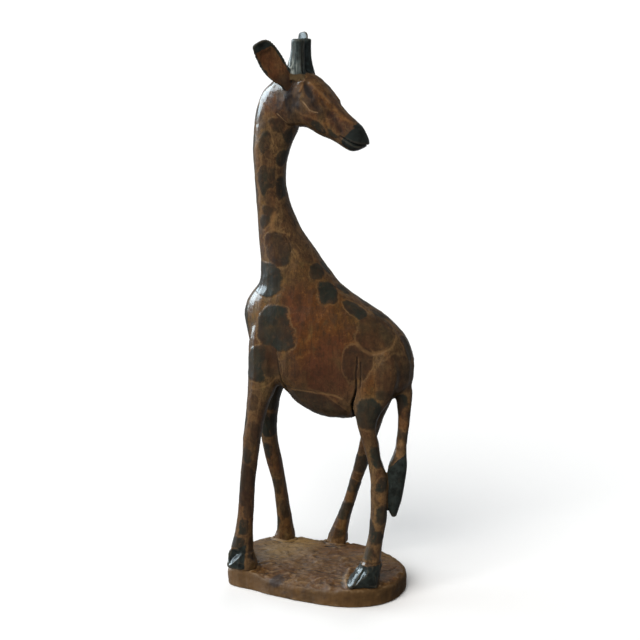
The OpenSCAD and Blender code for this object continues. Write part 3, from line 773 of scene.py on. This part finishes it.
# ---- pieces of the figure
def loops_of(edges):
    """Closed chains of vertex numbers from unordered boundary edges."""
    after = {}
    for a, b in edges:
        after.setdefault(a, []).append(b)
    chains = []
    while after:
        start = next(iter(after))
        chain, at = [start], start
        while True:
            options = after.get(at)
            if not options:
                break
            nxt = options.pop()
            if not options:
                del after[at]
            if nxt == start:
                break
            chain.append(nxt)
            at = nxt
        if len(chain) > 2:
            chains.append(chain)
    return chains


def cut_piece(skin, faces, normals, fields, name):
    """One closed piece of the skin: its own faces, with each open edge closed over inside the wood."""
    quads = skin.q[faces]
    used, local = np.unique(quads, return_inverse=True)
    local = local.reshape(-1, 4)
    verts = skin.v[used].tolist()
    polys = local.tolist()
    owner = used.tolist()
    have = set(map(tuple, sides(local).tolist()))
    rim = [(b, a) for a, b in have if (b, a) not in have]
    for chain in loops_of(rim):
        ring = np.array([verts[i] for i in chain])
        inward = np.mean([normals[owner[i]] for i in chain], 0)
        hub = ring.mean(0) - 1.5 * inward
        middle = []
        for i in chain:
            middle.append(len(verts))
            verts.append((0.5 * np.array(verts[i]) + 0.5 * hub).tolist())
            owner.append(owner[i])
        centre = len(verts)
        verts.append(hub.tolist())
        owner.append(owner[chain[0]])
        for k in range(len(chain)):
            a, b = chain[k], chain[(k + 1) % len(chain)]
            c, d = middle[(k + 1) % len(chain)], middle[k]
            polys.append([a, b, c, d])
            polys.append([d, c, centre])
    mesh = bpy.data.meshes.new(name)
    mesh.from_pydata((np.array(verts) * MM).tolist(), [], polys)
    mesh.shade_smooth()
    owner = np.array(owner)
    for key, values in fields.items():
        layer = mesh.attributes.new(key, "FLOAT", "POINT")
        layer.data.foreach_set("value", values[owner].astype(np.float32))
    mesh.normals_split_custom_set_from_vertices(normals[owner].tolist())
    return add_object(name, mesh)


normals = skin.normals()
# A face on the line between two pieces goes with the second lowest of its corners' node numbers
face_label = np.sort(label[skin.q], axis=1)[:, 1]
SLOTS = {"horn_left": "black_stained_wood", "horn_right": "black_stained_wood"}
pieces = {}
for name, i in FIG.items():
    piece = cut_piece(skin, np.where(face_label == i)[0], normals, fields, "carved_" + name)
    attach(piece, "root")
    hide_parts(name)
    pieces[name] = piece


# ---- plinth
# Corners of its outline, as shares of half its length and width
PLINTH_CORNERS = [(-0.99, -0.55), (-0.88, -0.68), (-0.66, -0.75), (-0.4, -0.87), (-0.05, -0.96),
                  (0.28, -1), (0.54, -0.96), (0.78, -0.78), (0.94, -0.48), (1, -0.1), (0.97, 0.17),
                  (0.85, 0.44), (0.63, 0.73), (0.38, 0.94), (0.12, 0.98), (-0.2, 0.96), (-0.5, 1),
                  (-0.8, 0.88), (-0.95, 0.5), (-0.99, 0)]


def outline_radius(corners, half):
    """Radius of a smooth closed outline round the origin, as a function of the angle."""
    pts = np.array(corners) * half
    dense = []
    count = len(pts)
    for i in range(count):
        a, b, c, d = pts[i - 1], pts[i], pts[(i + 1) % count], pts[(i + 2) % count]
        for t in np.linspace(0, 1, 12, endpoint=False):
            dense.append(0.5 * (2 * b + (c - a) * t + (2 * a - 5 * b + 4 * c - d) * t ** 2
                                + (3 * b - 3 * c + d - a) * t ** 3))
    dense = np.array(dense)
    angle = np.arctan2(dense[:, 1], dense[:, 0])
    order = np.argsort(angle)
    angle, radius = angle[order], np.hypot(dense[:, 0], dense[:, 1])[order]
    return lambda a: np.interp(a, angle, radius, period=2 * math.pi)


def plinth_skin():
    """The plinth's even skin, its outline's radius as a function of the angle, and its centre."""
    lo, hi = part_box("plinth")
    half = np.array([hi.x - lo.x, hi.y - lo.y]) * (METRE / 2)
    centre = np.array([hi.x + lo.x, hi.y + lo.y]) * (METRE / 2)
    radius = outline_radius(PLINTH_CORNERS, half)
    count = 720
    turn = np.linspace(-math.pi, math.pi, count, endpoint=False)
    out = radius(turn)
    shares = np.linspace(0.05, 0.9, 30)
    profile = [(9, PLINTH_TOP), (5.5, 21.7), (3, 20.9), (1.2, 19.4), (0.3, 17.4)]
    profile += [(0, level) for level in np.linspace(15, 4, 8)]
    profile += [(0.0, 2.0), (0.4, 0.9), (1.2, 0.3), (3, 0.0), (6, 0)]
    rings = [(out * share, PLINTH_TOP) for share in shares]
    rings += [(out - inset, level) for inset, level in profile]
    rings += [(out * share, 0.0) for share in reversed(shares)]
    verts = [np.stack([centre[0] + r * np.cos(turn), centre[1] + r * np.sin(turn), np.full(count, level)], 1)
             for r, level in rings]
    verts.append(np.array([[centre[0], centre[1], PLINTH_TOP], [centre[0], centre[1], 0.0]]))
    here = np.arange(count)
    after = (here + 1) % count
    faces = []
    for k in range(0, (len(rings) - 1) * count, count):
        faces.append(np.stack([k + here, k + count + here, k + count + after], 1))
        faces.append(np.stack([k + here, k + count + after, k + after], 1))
    top, last = len(rings) * count, (len(rings) - 1) * count
    faces.append(np.stack([np.full(count, top), here, after], 1))
    faces.append(np.stack([np.full(count, top + 1), last + after, last + here], 1))
    made = voxel_skin(np.concatenate(verts), np.concatenate(faces), VOXEL * 1.15)
    made.relax(4)
    return made, radius, centre


base_skin, base_radius, base_centre = plinth_skin()
p = base_skin.v
rel = p[:, :2] - base_centre
angle = np.arctan2(rel[:, 1], rel[:, 0])
inward = base_radius(angle) - np.hypot(rel[:, 0], rel[:, 1])
n = base_skin.normals()
top = ease(0.55, 0.85, n[:, 2])
side = 1 - np.abs(n[:, 2])
f = p - FIGURE_AT
# Short adze strokes run across the top, and the sides keep the upright grain of the log
lift = top * (1.0 * layered(p, (46, 30, 60), 71, 2) - 0.4)
lift += top * facet(p, (19, 11, 14), 73, 2.3)
lift += top * 0.4 * layered(p, (8, 4, 8), 75, 3)
chips = p + 3.0 * noise3(p, 20, 86)
lift += top * (1.0 - 3.4 * np.abs(layered(chips, (16, 8, 12), 76, 3))) * (0.6 + 0.4 * noise(p, 28, 89))
lift += side * (0.4 - 1.2 * np.abs(layered(chips, (14, 14, 12), 78, 3))) * (0.5 + 0.5 * noise(p, 24, 90))
lift += side * (facet(p, (20, 20, 26), 77, 1.3) + 0.22 * layered(p, (3.5, 3.5, 30), 79, 3)
                + 0.7 * layered(p, 14, 80, 2))
lift += 0.14 * noise(p, (2.2, 2.2, 2.2), 81)
# Cracks and tool marks of the top: half width, depth and x, y of the points along each
BASE_CUTS = [(0.9, 2.2, [(-75, 3), (-70, 4.5), (-64, 6)]),
             (0.9, 2.0, [(-9, 29), (-3, 31), (3, 31.5), (9, 30)]),
             (0.5, 1.0, [(-62, -28), (-48, -26), (-36, -27)]),
             (0.5, 1.0, [(-66, -18), (-55, -16), (-40, -17)]),
             (0.5, 1.1, [(-30, -34), (-8, -36), (22, -34)]),
             (0.6, 1.1, [(-66, 14), (-50, 17), (-38, 16)]),
             (0.5, 1.0, [(8, 16), (26, 18), (44, 15)]),
             (0.5, 1.0, [(60, -20), (74, -14), (80, 0)])]
base_cut = np.zeros(len(p))
wavy = f + 1.2 * noise3(f, 8, 83) * np.array([0, 1, 0])
for half, depth, points in BASE_CUTS:
    d, along = to_path(wavy, [(x, y, PLINTH_TOP) for x, y in points])
    taper = 4 * along * (1 - along) * 0.8 + 0.2
    cut = depth * taper * (1 - ease(0.1, 1.0, d / (half * 1.6 + VOXEL * 0.4)))
    base_cut = np.maximum(base_cut, cut * (n[:, 2] > 0.4))
lift -= base_cut
# A lip of wood left standing beside the near hind hoof, and collars round the other feet
lip = to_path(f, [(33, -22, 22), (33.5, -36, 22), (35, -50, 22), (40, -62, 22)])[0]
lift += top * 1.7 * np.exp(-(lip / 2.6) ** 2)
# Middle and half sizes of each foot
FEET = [(-78.5, -41, 15, 11), (-57.5, 42, 11.5, 10), (54, -51.5, 16, 13.5), (1.5, 47, 11.5, 10)]
for fx, fy, rx, ry in FEET:
    k = np.hypot((f[:, 0] - fx) / rx, (f[:, 1] - fy) / ry)
    lift += top * (0.9 * np.exp(-((k - 1.1) / 0.12) ** 2) - 0.7 * np.exp(-((k - 1.35) / 0.15) ** 2))
base_skin.v = base_skin.v + lift[:, None] * n
f = base_skin.v - FIGURE_AT
z = base_skin.v[:, 2]
# The back edge of the top falls away behind the far feet
z -= 1.6 * ease(14, 0, inward) * ease(20, 50, f[:, 1]) * ease(10, 22, z)
# Its front edge is worn away unevenly between the near feet
worn = ease(-62, -48, f[:, 0]) * ease(42, 26, f[:, 0]) * ease(-20, -45, f[:, 1]) * ease(8, 22, z)
z -= worn * 3.4 * ease(17, 0, inward + 4 * layered(f, (14, 14, 30), 85, 2))
base_skin.v[:, 2] = np.maximum(z, 0.0)
base_fields = {
    "cut": base_cut, "ridge": base_skin.curvature(3) / VOXEL ** 2, "topside": top,
    "stain": np.clip(blobs(f, [
        (-38, -58, 21, 7.5, 1.0), (-35, -60, 16, 7, 0.7), (-18, -64, 12, 12, 0.35),
        (-64, -36, 22, 9, 0.45), (-5, 38, 22, 12, 0.5), (60, -30, 22, 14, 0.35), (-20, -72, 6, 9, 0.5),
        (18, -60, 21, 12, 0.3)]), 0, 1),
    "pale": np.clip(blobs(f, [
        (-52, 22, 22, 26, 1), (-30, 40, 22, 22, 0.7), (-58, -6, 22, 16, 0.6), (36, -46, 22, 8, 0.7),
        (70, 20, 22, 16, 0.4), (-80, -50, 8, 14, 0.4)]), 0, 1),
}
every_face = np.arange(len(base_skin.q))
plinth = cut_piece(base_skin, every_face, base_skin.normals(), base_fields, "carved_plinth")
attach(plinth, "root")
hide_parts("plinth")


# ---- materials
def srgb(r, g, b):
    """The linear colour of a display colour given in 0..255."""
    shares = [c / 255 for c in (r, g, b)]
    return tuple(c / 12.92 if c <= 0.04045 else ((c + 0.055) / 1.055) ** 2.4 for c in shares) + (1,)


class Value:
    """One output of a node, to write sums and products with."""

    def __init__(self, graph, socket):
        self.graph, self.socket = graph, socket

    def __mul__(self, other):
        return self.graph.math("MULTIPLY", self, other)

    def __add__(self, other):
        return self.graph.math("ADD", self, other)

    def __sub__(self, other):
        return self.graph.math("SUBTRACT", self, other)

    def __rsub__(self, other):
        return self.graph.math("SUBTRACT", other, self)

    def __abs__(self):
        return self.graph.math("ABSOLUTE", self)


class Graph:
    """Small helper that builds a material's node tree."""

    def __init__(self, name):
        self.material = bpy.data.materials.new(name)
        self.material.use_nodes = True
        self.tree = self.material.node_tree
        self.tree.nodes.clear()
        self.object_space = self.wire(self.add("ShaderNodeTexCoord"), {}, "Object")

    def add(self, kind, **settings):
        node = self.tree.nodes.new(kind)
        for key, value in settings.items():
            setattr(node, key, value)
        return node

    def wire(self, node, inputs, output=0):
        """Links or sets the node's inputs, and gives one of its outputs."""
        for key, value in inputs.items():
            if isinstance(value, Value):
                self.tree.links.new(value.socket, node.inputs[key])
            elif value is not None:
                node.inputs[key].default_value = value
        return Value(self, node.outputs[output])

    def field(self, name):
        return self.wire(self.add("ShaderNodeAttribute", attribute_name=name), {}, "Fac")

    def math(self, operation, a, b=None, clamp=False):
        return self.wire(self.add("ShaderNodeMath", operation=operation, use_clamp=clamp), {0: a, 1: b})

    def step(self, value, low, high, out_low=0.0, out_high=1.0):
        """Smooth step of value from low to high; low may be above high."""
        node = self.add("ShaderNodeMapRange", interpolation_type="SMOOTHSTEP")
        return self.wire(node, {"Value": value, "From Min": low, "From Max": high,
                                "To Min": out_low, "To Max": out_high}, "Result")

    def mix(self, share, a, b, blend="MIX"):
        node = self.add("ShaderNodeMix", data_type="RGBA", blend_type=blend, clamp_factor=True)
        return self.wire(node, {0: share, 6: a, 7: b}, 2)

    def tint(self, colour, r, g, b):
        return self.mix(1.0, colour, (r, g, b, 1), "MULTIPLY")

    def over(self, colour, *layers):
        """The colour with layers over it, each a share and a display colour.

        A share is a value, or four: a value, the low and high of its step, and the most it comes to.
        """
        for *share, r, g, b in layers:
            share = share[0] if len(share) == 1 else self.step(*share[:3], 0.0, share[3])
            colour = self.mix(share, colour, srgb(r, g, b))
        return colour

    def noise(self, size, detail=3.0, rough=0.55, stretch=(1, 1, 1), distortion=0.0):
        """Noise whose lumps are size mm long, longer along an axis by its stretch."""
        scale = tuple(1.0 / k for k in stretch)
        place = self.wire(self.add("ShaderNodeMapping"), {"Vector": self.object_space, "Scale": scale})
        return self.wire(self.add("ShaderNodeTexNoise"), {
            "Vector": place, "Scale": METRE / size, "Detail": detail, "Roughness": rough,
            "Distortion": distortion}, "Fac")

    def bump(self, height, distance, strength):
        return self.wire(self.add("ShaderNodeBump"), {
            "Height": height, "Distance": distance, "Strength": strength})

    def finish(self, colour, roughness, normal=None, coat=0.0, coat_roughness=0.3, specular=0.5,
               coat_normal=None):
        shader = self.wire(self.add("ShaderNodeBsdfPrincipled"), {
            "Base Color": colour, "Roughness": roughness, "Normal": normal, "Coat Normal": coat_normal,
            "Coat Weight": coat, "Coat Roughness": coat_roughness, "Specular IOR Level": specular})
        self.tree.links.new(shader.socket, self.add("ShaderNodeOutputMaterial").inputs[0])
        return self.material


def lacquered_wood(name, coat):
    """Painted patches on stained wood under a lacquer of the given weight."""
    g = Graph(name)
    grain = g.noise(1.6, 4, 0.6, (1, 1, 14))
    streak = g.noise(5, 3, 0.6, (1, 1, 7))
    mottle = g.noise(7, 5, 0.62)
    cloud = g.noise(24, 3, 0.5)
    speck = g.noise(1.3, 3, 0.6)
    blotch = g.noise(15, 4, 0.6, (1, 1, 2.2), 0.3)
    smudge = g.noise(6, 4, 0.68, (1, 1, 1.3), 0.5)
    veins = abs(g.noise(11, 5, 0.6, (1, 1, 1.6), 0.4) - 0.5)
    edge = (g.noise(3.6, 5, 0.68) - 0.5) * 5.0
    red, force, worked, ridge, dark = (g.field(k) for k in ("red", "force", "worked", "ridge", "dark"))
    net = g.step(abs(g.noise(12, 4, 0.6, (1, 1, 1.7), 0.7) - 0.5), 0.04, 0.004)
    net = net * (g.field("net") * g.step(cloud, 0.36, 0.56, 0.25, 0.9))

    # The wood between the patches
    ground = g.over(
        g.mix(g.field("warm"), srgb(102, 80, 58), srgb(90, 55, 24)),
        (red * g.step(cloud, 0.3, 0.7, 0.5, 1.0), 82, 46, 26),
        (g.field("olive") * 0.8, 74, 62, 38),
        (blotch, 0.5, 0.62, 0.55, 76, 46, 32),
        (blotch, 0.46, 0.34, 0.5, 98, 84, 54),
        (mottle, 0.38, 0.68, 0.6, 54, 38, 25),
        (streak, 0.52, 0.7, 0.4, 46, 34, 23),
        (veins, 0.03, 0.0, 0.5, 46, 32, 20),
        (mottle, 0.44, 0.28, 0.6, 120, 86, 50),
        (speck, 0.58, 0.76, 0.5, 128, 94, 56),
        (red * g.step(mottle, 0.66, 0.4, 0.15, 0.6), 88, 52, 38),
        (net, 122, 96, 66),
        (grain, 0.5, 0.7, 0.45, 44, 32, 22))
    ground = g.tint(ground, 1.0, 0.94, 0.76)

    # The patches, and the light line round each
    tone = g.math("ADD", g.field("tone"), (g.step(blotch, 0.36, 0.64) - 0.5) * 0.7, clamp=True)
    patch = g.over(
        g.mix(tone, srgb(39, 42, 37), srgb(60, 40, 28)),
        (mottle, 0.42, 0.7, 0.6, 28, 26, 22),
        (mottle, 0.44, 0.3, 0.35, 68, 55, 42),
        (streak, 0.5, 0.72, 0.25, 62, 51, 39),
        (net * (tone * 0.5), 94, 72, 50))
    patch = g.tint(patch, 0.88, 0.87, 0.78)
    spot = g.field("spot") + edge * 1.25
    inside = g.step(spot, 1.6, -1.6) * (force * g.step(cloud, 0.72, 0.4, 0.78, 1.0))
    line = g.step(spot, 0.0, 1.0) * g.step(spot, 3.4, 1.4)
    line = line * g.field("halo") * g.step(blotch, 0.4, 0.6, 0.15, 1.0) * force
    colour = g.mix(inside, g.over(ground, (line, 120, 94, 61)), patch)

    # Smudges, wear, painted shade in the hollows and the cuts, and the face's marks
    worn = g.step(ridge + mottle * 0.06, 0.05, 0.14)
    # Painted shade in the hollows, where the skin curves inward; it also roughens them
    hollow = g.step(ridge, -0.02, -0.12)
    marked = mottle + edge * 0.1
    seam = g.step(g.field("seam") + edge * 0.3, 1.2, -0.8)
    scratch = g.step(g.field("scratch") + edge * 0.25, 0.5, -0.3)
    colour = g.over(
        colour,
        (worked * g.step(smudge, 0.5, 0.62, 0.0, 0.6), 42, 28, 23),
        (worked * g.step(smudge, 0.45, 0.33, 0.0, 0.45), 112, 78, 50),
        (worn * 0.55, 112, 84, 54),
        # painted shade in the hollows
        (hollow * 0.6, 26, 21, 16),
        (dark * g.step(marked, 0.72, 0.42, 0.65, 1.0), 29, 20, 17),
        (g.step(g.field("eye") + edge * 0.3, 1.5, 0.6, 0.0, 0.75), 28, 23, 21),
        (g.field("light") * g.step(marked, 0.66, 0.4, 0.35, 1.0) * 0.75, 128, 92, 56),
        (seam * g.step(cloud, 0.4, 0.6, 0.3, 0.9), 108, 80, 50),
        (scratch * g.step(mottle, 0.62, 0.42, 0.55, 0.9), 134, 106, 76),
        # painted shade in the deep cuts
        (g.step(g.field("cut"), 0.9, 2.2), 15, 12, 10))

    # Solid black paint
    black = g.over(
        g.mix(g.step(mottle, 0.4, 0.64), srgb(36, 41, 38), srgb(17, 19, 16)),
        (grain, 0.58, 0.75, 0.4, 56, 62, 60),
        (worn * 0.35, 92, 84, 70),
        (dark * 0.6, 14, 15, 13))
    colour = g.mix(g.step(g.field("paint") + edge * 0.5, 0.6, -0.5), colour, black)
    rough = g.step(mottle, 0.3, 0.75, 0.34, 0.58) + hollow * 0.15
    height = grain * 0.6 + speck * 0.5 + streak * 0.8
    return g.finish(colour, rough, g.bump(height, 0.00035, 0.5), coat=coat, coat_roughness=0.17,
                    specular=0.12, coat_normal=g.bump(height, 0.00015, 0.5))


def black_stained_wood():
    """The horns: black stain with scraped streaks and a painted highlight near the root, over bare wood at
    the root.
    """
    g = Graph("black_stained_wood")
    grain = g.noise(1.5, 4, 0.6, (1, 1, 16))
    streak = g.noise(3.4, 3, 0.6, (1, 1, 9))
    mottle = g.noise(6, 4, 0.6)
    edge = (g.noise(3.2, 4, 0.65) - 0.5) * 3.0
    ridge = g.field("ridge")
    wood = g.mix(g.step(mottle, 0.35, 0.7), srgb(84, 68, 46), srgb(58, 46, 31))
    black = g.over(
        g.mix(g.step(mottle, 0.4, 0.62), srgb(32, 38, 37), srgb(48, 58, 58)),
        (streak, 0.5, 0.7, 0.22, 24, 28, 26),
        (grain, 0.54, 0.74, 0.35, 19, 22, 20),
        # painted highlight over scraped streaks at the horns' roots
        (g.field("scrape_and_sheen") * g.step(streak + grain * 0.5, 0.62, 0.86), 150, 156, 150),
        (g.step(ridge + mottle * 0.06, 0.06, 0.16) * 0.3, 96, 92, 80),
        # painted shade in the hollows
        (g.step(ridge, -0.02, -0.1), 8, 10, 8))
    colour = g.mix(g.step(g.field("paint") + edge * 0.5, 0.6, -0.5), wood, black)
    # Painted shade in the cuts
    colour = g.over(colour, (g.step(g.field("cut"), 0.3, 1.4), 7, 9, 8))
    normal = g.bump(grain * 0.6 + streak * 0.5, 0.00022, 0.5)
    return g.finish(colour, g.step(streak, 0.35, 0.7, 0.3, 0.5), normal, coat=0.3, coat_roughness=0.2,
                    specular=0.12)


def raw_base_wood():
    """The plinth: adzed end face on top, upright grain on the sides."""
    g = Graph("raw_base_wood")
    top = g.field("topside")
    ridge = g.field("ridge")
    upright = g.noise(3.2, 5, 0.6, (1, 1, 12))
    stroke = g.noise(3.0, 5, 0.66, (3.5, 1, 1), 0.6)
    fleck = g.noise(4.5, 5, 0.7, (1.6, 1, 1), 1.2)
    mottle = g.noise(9, 5, 0.62)
    cloud = g.noise(34, 3, 0.5)
    speck = g.noise(1.1, 3, 0.6)
    face = g.over(
        g.mix(g.step(cloud, 0.35, 0.65), srgb(108, 82, 56), srgb(98, 68, 44)),
        (mottle, 0.46, 0.66, 0.8, 74, 54, 37),
        (g.field("pale") * 0.85, 152, 127, 95),
        (stroke, 0.54, 0.66, 0.5, 58, 42, 29),
        (stroke, 0.42, 0.25, 0.5, 140, 116, 84),
        (fleck, 0.53, 0.64, 0.65, 52, 37, 25),
        (fleck, 0.44, 0.34, 0.5, 142, 116, 82))
    wall = g.over(
        g.mix(g.step(cloud, 0.35, 0.65), srgb(98, 73, 49), srgb(80, 60, 41)),
        (upright, 0.52, 0.74, 0.35, 62, 46, 32),
        (mottle, 0.5, 0.72, 0.5, 66, 47, 33),
        (mottle, 0.42, 0.26, 0.5, 120, 94, 66))
    colour = g.mix(top, g.tint(wall, 0.96, 0.92, 0.72), g.tint(face, 0.78, 0.69, 0.43))
    colour = g.over(
        colour,
        (speck, 0.64, 0.8, 0.35, 54, 42, 30),
        (g.step(ridge + mottle * 0.05, 0.05, 0.16, 0, 0.5), 142, 116, 84),
        # painted shade in the hollows
        (ridge, -0.02, -0.13, 0.7, 44, 33, 23),
        # painted shade in the cracks and tool marks
        (g.step(g.field("cut"), 0.2, 1.2, 0, 0.9), 26, 20, 15),
        (g.step(g.field("stain") + (mottle - 0.5) * 1.6, 0.15, 1.0, 0, 0.8), 46, 37, 34))
    height = upright * 1.4 * (1.0 - top) + (stroke * 0.5 + fleck) * top + speck * 0.6
    return g.finish(colour, g.step(mottle, 0.3, 0.7, 0.62, 0.8), g.bump(height, 0.0006, 0.6), coat=0.04,
                    coat_roughness=0.5, specular=0.3)


figure_wood, ear_wood = lacquered_wood("lacquered_wood", 0.6), lacquered_wood("thinly_lacquered_wood", 0.2)
horn_wood, base_wood = black_stained_wood(), raw_base_wood()
for name, piece in pieces.items():
    piece.data.materials.append(horn_wood if name in SLOTS else ear_wood if name in EARS else figure_wood)
plinth.data.materials.append(base_wood)


# ---- floor, light and camera
floor_mesh = bpy.data.meshes.new("floor")
floor_mesh.from_pydata([(-40, -40, 0), (40, -40, 0), (40, 40, 0), (-40, 40, 0)], [], [(0, 1, 2, 3)])
floor = add_object("floor", floor_mesh)
floor_mesh.materials.append(Graph("pale_floor").finish((0.97, 0.97, 0.97, 1), 0.9, specular=0.2))
floor.visible_diffuse = False
floor.visible_glossy = False


def sun(name, strength, colour, spread, azimuth, height):
    """Soft light from azimuth degrees round to the left of the camera's line, height degrees up."""
    lamp = bpy.data.lights.new(name, "SUN")
    lamp.energy, lamp.color, lamp.angle = strength, colour, math.radians(spread)
    obj = add_object(name, lamp)
    a, e = math.radians(-75 - azimuth), math.radians(height)
    towards = Vector((math.cos(a) * math.cos(e), math.sin(a) * math.cos(e), math.sin(e)))
    obj.rotation_euler = towards.to_track_quat("Z", "Y").to_euler()
    return obj


sun("window", 1.6, (0.86, 0.94, 1.0), 60, 105, 22).visible_glossy = False
sun("window_sheen", 9.8, (0.74, 0.9, 1.0), 54, 107, 27).visible_diffuse = False
sun("fill", 3.45, (1.0, 0.98, 0.95), 50, 32, 38).visible_glossy = False
sun("back", 1.2, (1.0, 1.0, 1.0), 60, 197, 20).visible_glossy = False
world = bpy.data.worlds.new("studio")
world.use_nodes = True
world.node_tree.nodes["Background"].inputs[0].default_value = (1.0, 1.0, 1.0, 1)
world.node_tree.nodes["Background"].inputs[1].default_value = 0.13
bpy.context.scene.world = world
bpy.context.scene.view_settings.view_transform = "Standard"

camera = add_object("camera", bpy.data.cameras.new("camera"))
camera.location = (0.3576, -1.3353, 0.640)
camera.rotation_euler = (math.radians(75.6), 0, math.radians(15))
camera.data.lens = 79.1
camera.data.sensor_width = 36
bpy.context.scene.camera = camera
